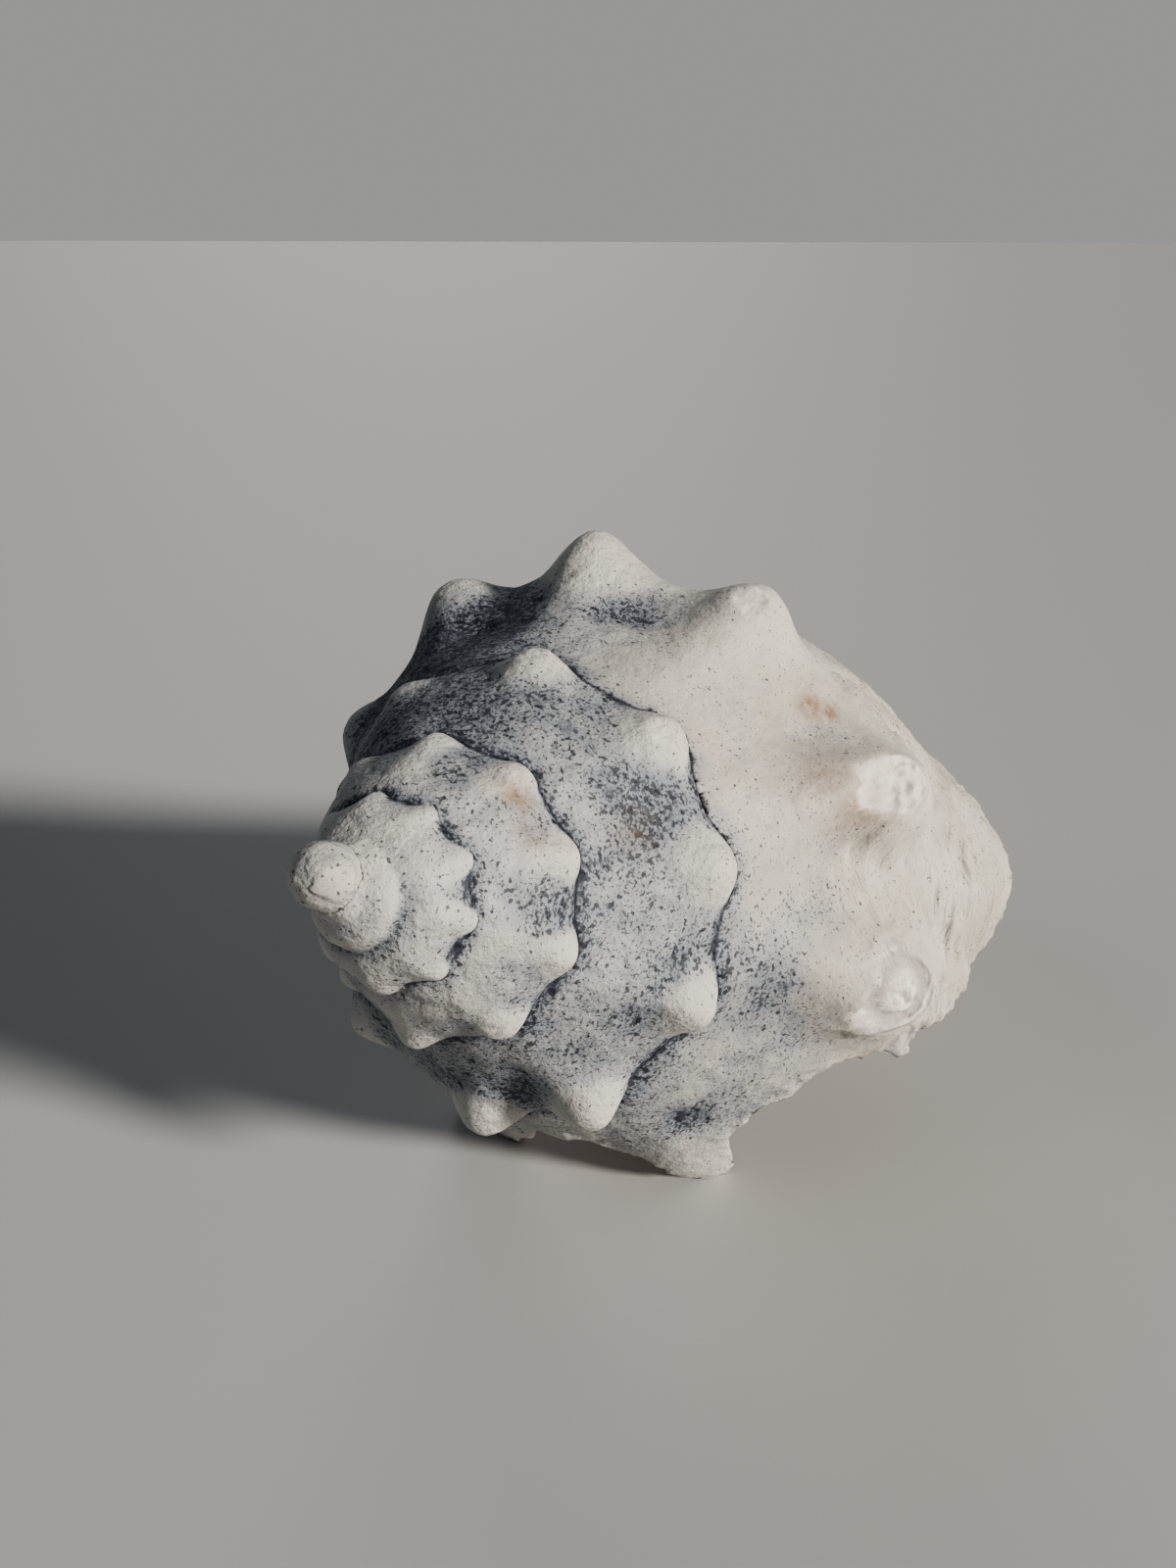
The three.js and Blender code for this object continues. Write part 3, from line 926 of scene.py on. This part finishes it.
def make_light():
    """Three suns, a faint sky, and a plain backdrop that only the camera sees."""
    world = bpy.data.worlds.new("world")
    bpy.context.scene.world = world
    world.use_nodes = True
    nodes, links = world.node_tree.nodes, world.node_tree.links
    glow = nodes["Background"]
    glow.inputs[0].default_value = SKY_COLOUR
    glow.inputs[1].default_value = SKY_STRENGTH
    backdrop = nodes.new("ShaderNodeBackground")
    backdrop.inputs[0].default_value = BACKDROP_COLOUR
    path = nodes.new("ShaderNodeLightPath")
    both = nodes.new("ShaderNodeMixShader")
    links.new(path.outputs["Is Camera Ray"], both.inputs[0])
    links.new(glow.outputs[0], both.inputs[1])
    links.new(backdrop.outputs[0], both.inputs[2])
    links.new(both.outputs[0], nodes["World Output"].inputs["Surface"])
    for name, place, spread, strength, colour in LIGHTS:
        light = bpy.data.lights.new(name, "SUN")
        light.energy = strength
        light.angle = math.radians(spread)
        light.color = colour
        obj = bpy.data.objects.new(name, light)
        bpy.context.scene.collection.objects.link(obj)
        obj.location = place
        aim = Vector((0, 0, 0.04)) - obj.location
        obj.rotation_euler = aim.to_track_quat("-Z", "Y").to_euler()


class Nodes:
    """Short ways to add nodes to one material."""

    def __init__(self, name):
        self.material = bpy.data.materials.new(name)
        self.material.use_nodes = True
        self.tree = self.material.node_tree
        self.shader = self.tree.nodes["Principled BSDF"]

    def add(self, kind, **settings):
        node = self.tree.nodes.new(kind)
        for key, value in settings.items():
            setattr(node, key, value)
        return node

    def feed(self, socket, value):
        if isinstance(value, bpy.types.NodeSocket):
            self.tree.links.new(value, socket)
        else:
            socket.default_value = value

    def attribute(self, name, output="Fac"):
        return self.add("ShaderNodeAttribute", attribute_name=name).outputs[output]

    def math(self, operation, a, b=0.0, clamp=False):
        node = self.add("ShaderNodeMath", operation=operation, use_clamp=clamp)
        self.feed(node.inputs[0], a)
        self.feed(node.inputs[1], b)
        return node.outputs[0]

    def blend(self, factor, a, b):
        node = self.add("ShaderNodeMix", data_type="RGBA")
        self.feed(node.inputs[0], factor)
        self.feed(node.inputs[6], a)
        self.feed(node.inputs[7], b)
        return node.outputs[2]

    def span(self, value, low, high, to_low=0.0, to_high=1.0):
        """The value's way from low to high, smoothly stepped onto the new range."""
        node = self.add("ShaderNodeMapRange", interpolation_type="SMOOTHSTEP")
        for socket, v in zip(node.inputs, (value, low, high, to_low, to_high)):
            self.feed(socket, v)
        return node.outputs[0]

    def noise(self, place, scale, detail=2.0, roughness=0.5, stretch=None):
        if stretch is not None:
            mapping = self.add("ShaderNodeMapping")
            self.feed(mapping.inputs[0], place)
            mapping.inputs[3].default_value = stretch
            place = mapping.outputs[0]
        node = self.add("ShaderNodeTexNoise")
        self.feed(node.inputs["Vector"], place)
        node.inputs["Scale"].default_value = scale
        node.inputs["Detail"].default_value = detail
        node.inputs["Roughness"].default_value = roughness
        return node.outputs[0]


def shell_material():
    """The shell's looks, from what each point carries and from noise."""
    n = Nodes("shell")
    place = n.add("ShaderNodeTexCoord").outputs["Object"]
    shade = n.attribute("shade")
    dip = n.attribute("dip")
    suture = n.attribute("suture")
    bare = n.attribute("bare")
    chalk = n.attribute("chalk")
    grey = n.attribute("grey")
    outside = n.attribute("outside")

    # How much blue-grey growth there is; the hollow and suture terms are partly real growth and partly
    # painted shade
    cloud = n.noise(place, 90, 3.0, 0.55)
    mottle = n.noise(place, 330, 2.0, 0.5)
    # Hollows get darker: partly denser growth, partly painted shade
    hollow = n.span(dip, -0.05, 0.75)
    proud = n.span(dip, 0.05, -0.6)
    growth_and_painted_shade = n.math("ADD", n.math("MULTIPLY", shade, 0.58), n.math("MULTIPLY", hollow, 0.6))
    growth_and_painted_shade = n.math("ADD", growth_and_painted_shade, n.math("MULTIPLY", suture, 0.2))
    growth_and_painted_shade = n.math("SUBTRACT", growth_and_painted_shade, n.math("MULTIPLY", proud, 0.35))
    growth_and_painted_shade = n.math("SUBTRACT", growth_and_painted_shade, n.math("MULTIPLY", bare, 0.55))
    growth_and_painted_shade = n.math("ADD", growth_and_painted_shade, n.math("MULTIPLY", n.math("SUBTRACT", cloud, 0.5), 0.7))
    growth_and_painted_shade = n.math("MULTIPLY", growth_and_painted_shade, outside)

    # The ground, from cream to ash, under the growth and the painted shade
    mottled = n.math("MULTIPLY", n.math("SUBTRACT", mottle, 0.5), 0.5)
    tint = n.span(n.math("ADD", growth_and_painted_shade, mottled), 0.05, 0.85)
    base = n.blend(n.span(cloud, 0.35, 0.7), CREAM, BONE)
    base = n.blend(n.math("MULTIPLY", n.attribute("age"), 0.85), base, ASH)
    base = n.blend(n.span(bare, 0.1, 1.0, 0.0, 0.75), base, BONE)
    colour = n.blend(n.math("MULTIPLY", tint, 0.9), base, BLUE_GREY)

    # Broken shell
    crumbs = n.span(n.noise(place, 800, 3.0, 0.65), 0.42, 0.62)
    broken = n.blend(n.math("MULTIPLY", crumbs, 0.5), CHALK, BONE)
    broken = n.blend(n.span(dip, 0.08, 0.5, 0.0, 0.7), broken, CREVICE)

    # Specks, brown stains with some painted shade beside the knob at 80, the dark line along the sutures and
    # the inside
    for scale, low, high, width, ink, strength in SPECKS:
        grains = n.noise(place, scale, 1.5, 0.5)
        level = n.span(growth_and_painted_shade, 0.1, 1.1, low, high)
        speck = n.span(n.math("SUBTRACT", grains, level), 0.0, width)
        colour = n.blend(n.math("MULTIPLY", speck, strength), colour, ink)
    streaks = n.span(n.noise(place, 620, 2.0, 0.6), 0.36, 0.56, 0.45, 1.0)
    # Brown stains, partly painted shade beside the knob at 80
    colour = n.blend(n.math("MULTIPLY", n.attribute("stain_and_painted_shade"), streaks), colour, TAN)
    crack = n.math("ADD", n.attribute("crack"), n.math("MULTIPLY", n.math("SUBTRACT", mottle, 0.5), 0.9))
    crack = n.span(crack, 0.55, 1.05)
    colour = n.blend(n.math("MULTIPLY", crack, 0.85), colour, NAVY)
    inner = n.blend(outside, INNER, colour)
    colour = n.blend(chalk, inner, broken)
    colour = n.blend(grey, colour, RING_GREY)
    n.feed(n.shader.inputs["Base Color"], colour)
    n.shader.inputs["Roughness"].default_value = 0.62

    # Fine grain, and hair lines along the coil
    flow = n.attribute("flow", "Vector")
    hairs = n.noise(flow, 1.0, 3.0, 0.55, stretch=(0.08, 0.6, 1.0))
    hairs = n.math("MULTIPLY", hairs, n.math("MULTIPLY", n.attribute("corded"), 1.6))
    graininess = n.span(n.attribute("age"), 0.0, 1.0, 0.5, 1.1)
    grain = n.math("MULTIPLY", n.noise(place, 420, 5.0, 0.62), graininess)
    bump = n.add("ShaderNodeBump")
    bump.inputs["Strength"].default_value = 0.75
    bump.inputs["Distance"].default_value = 0.001
    n.feed(bump.inputs["Height"], n.math("ADD", grain, hairs))
    n.feed(n.shader.inputs["Normal"], bump.outputs[0])
    return n.material


def main():
    make_camera()
    make_floor()
    make_light()
    shell = shell_object()
    weather(shell.data)
    lay(shell.data)
    shell.name = "shell_surface"
    shell.data.polygons.foreach_set("use_smooth", [True] * len(shell.data.polygons))
    shell.data.materials.clear()
    shell.data.materials.append(shell_material())
    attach(shell, "root")
    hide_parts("shell")


bpy.context.scene.view_settings.look = "AgX - Very High Contrast"
main()
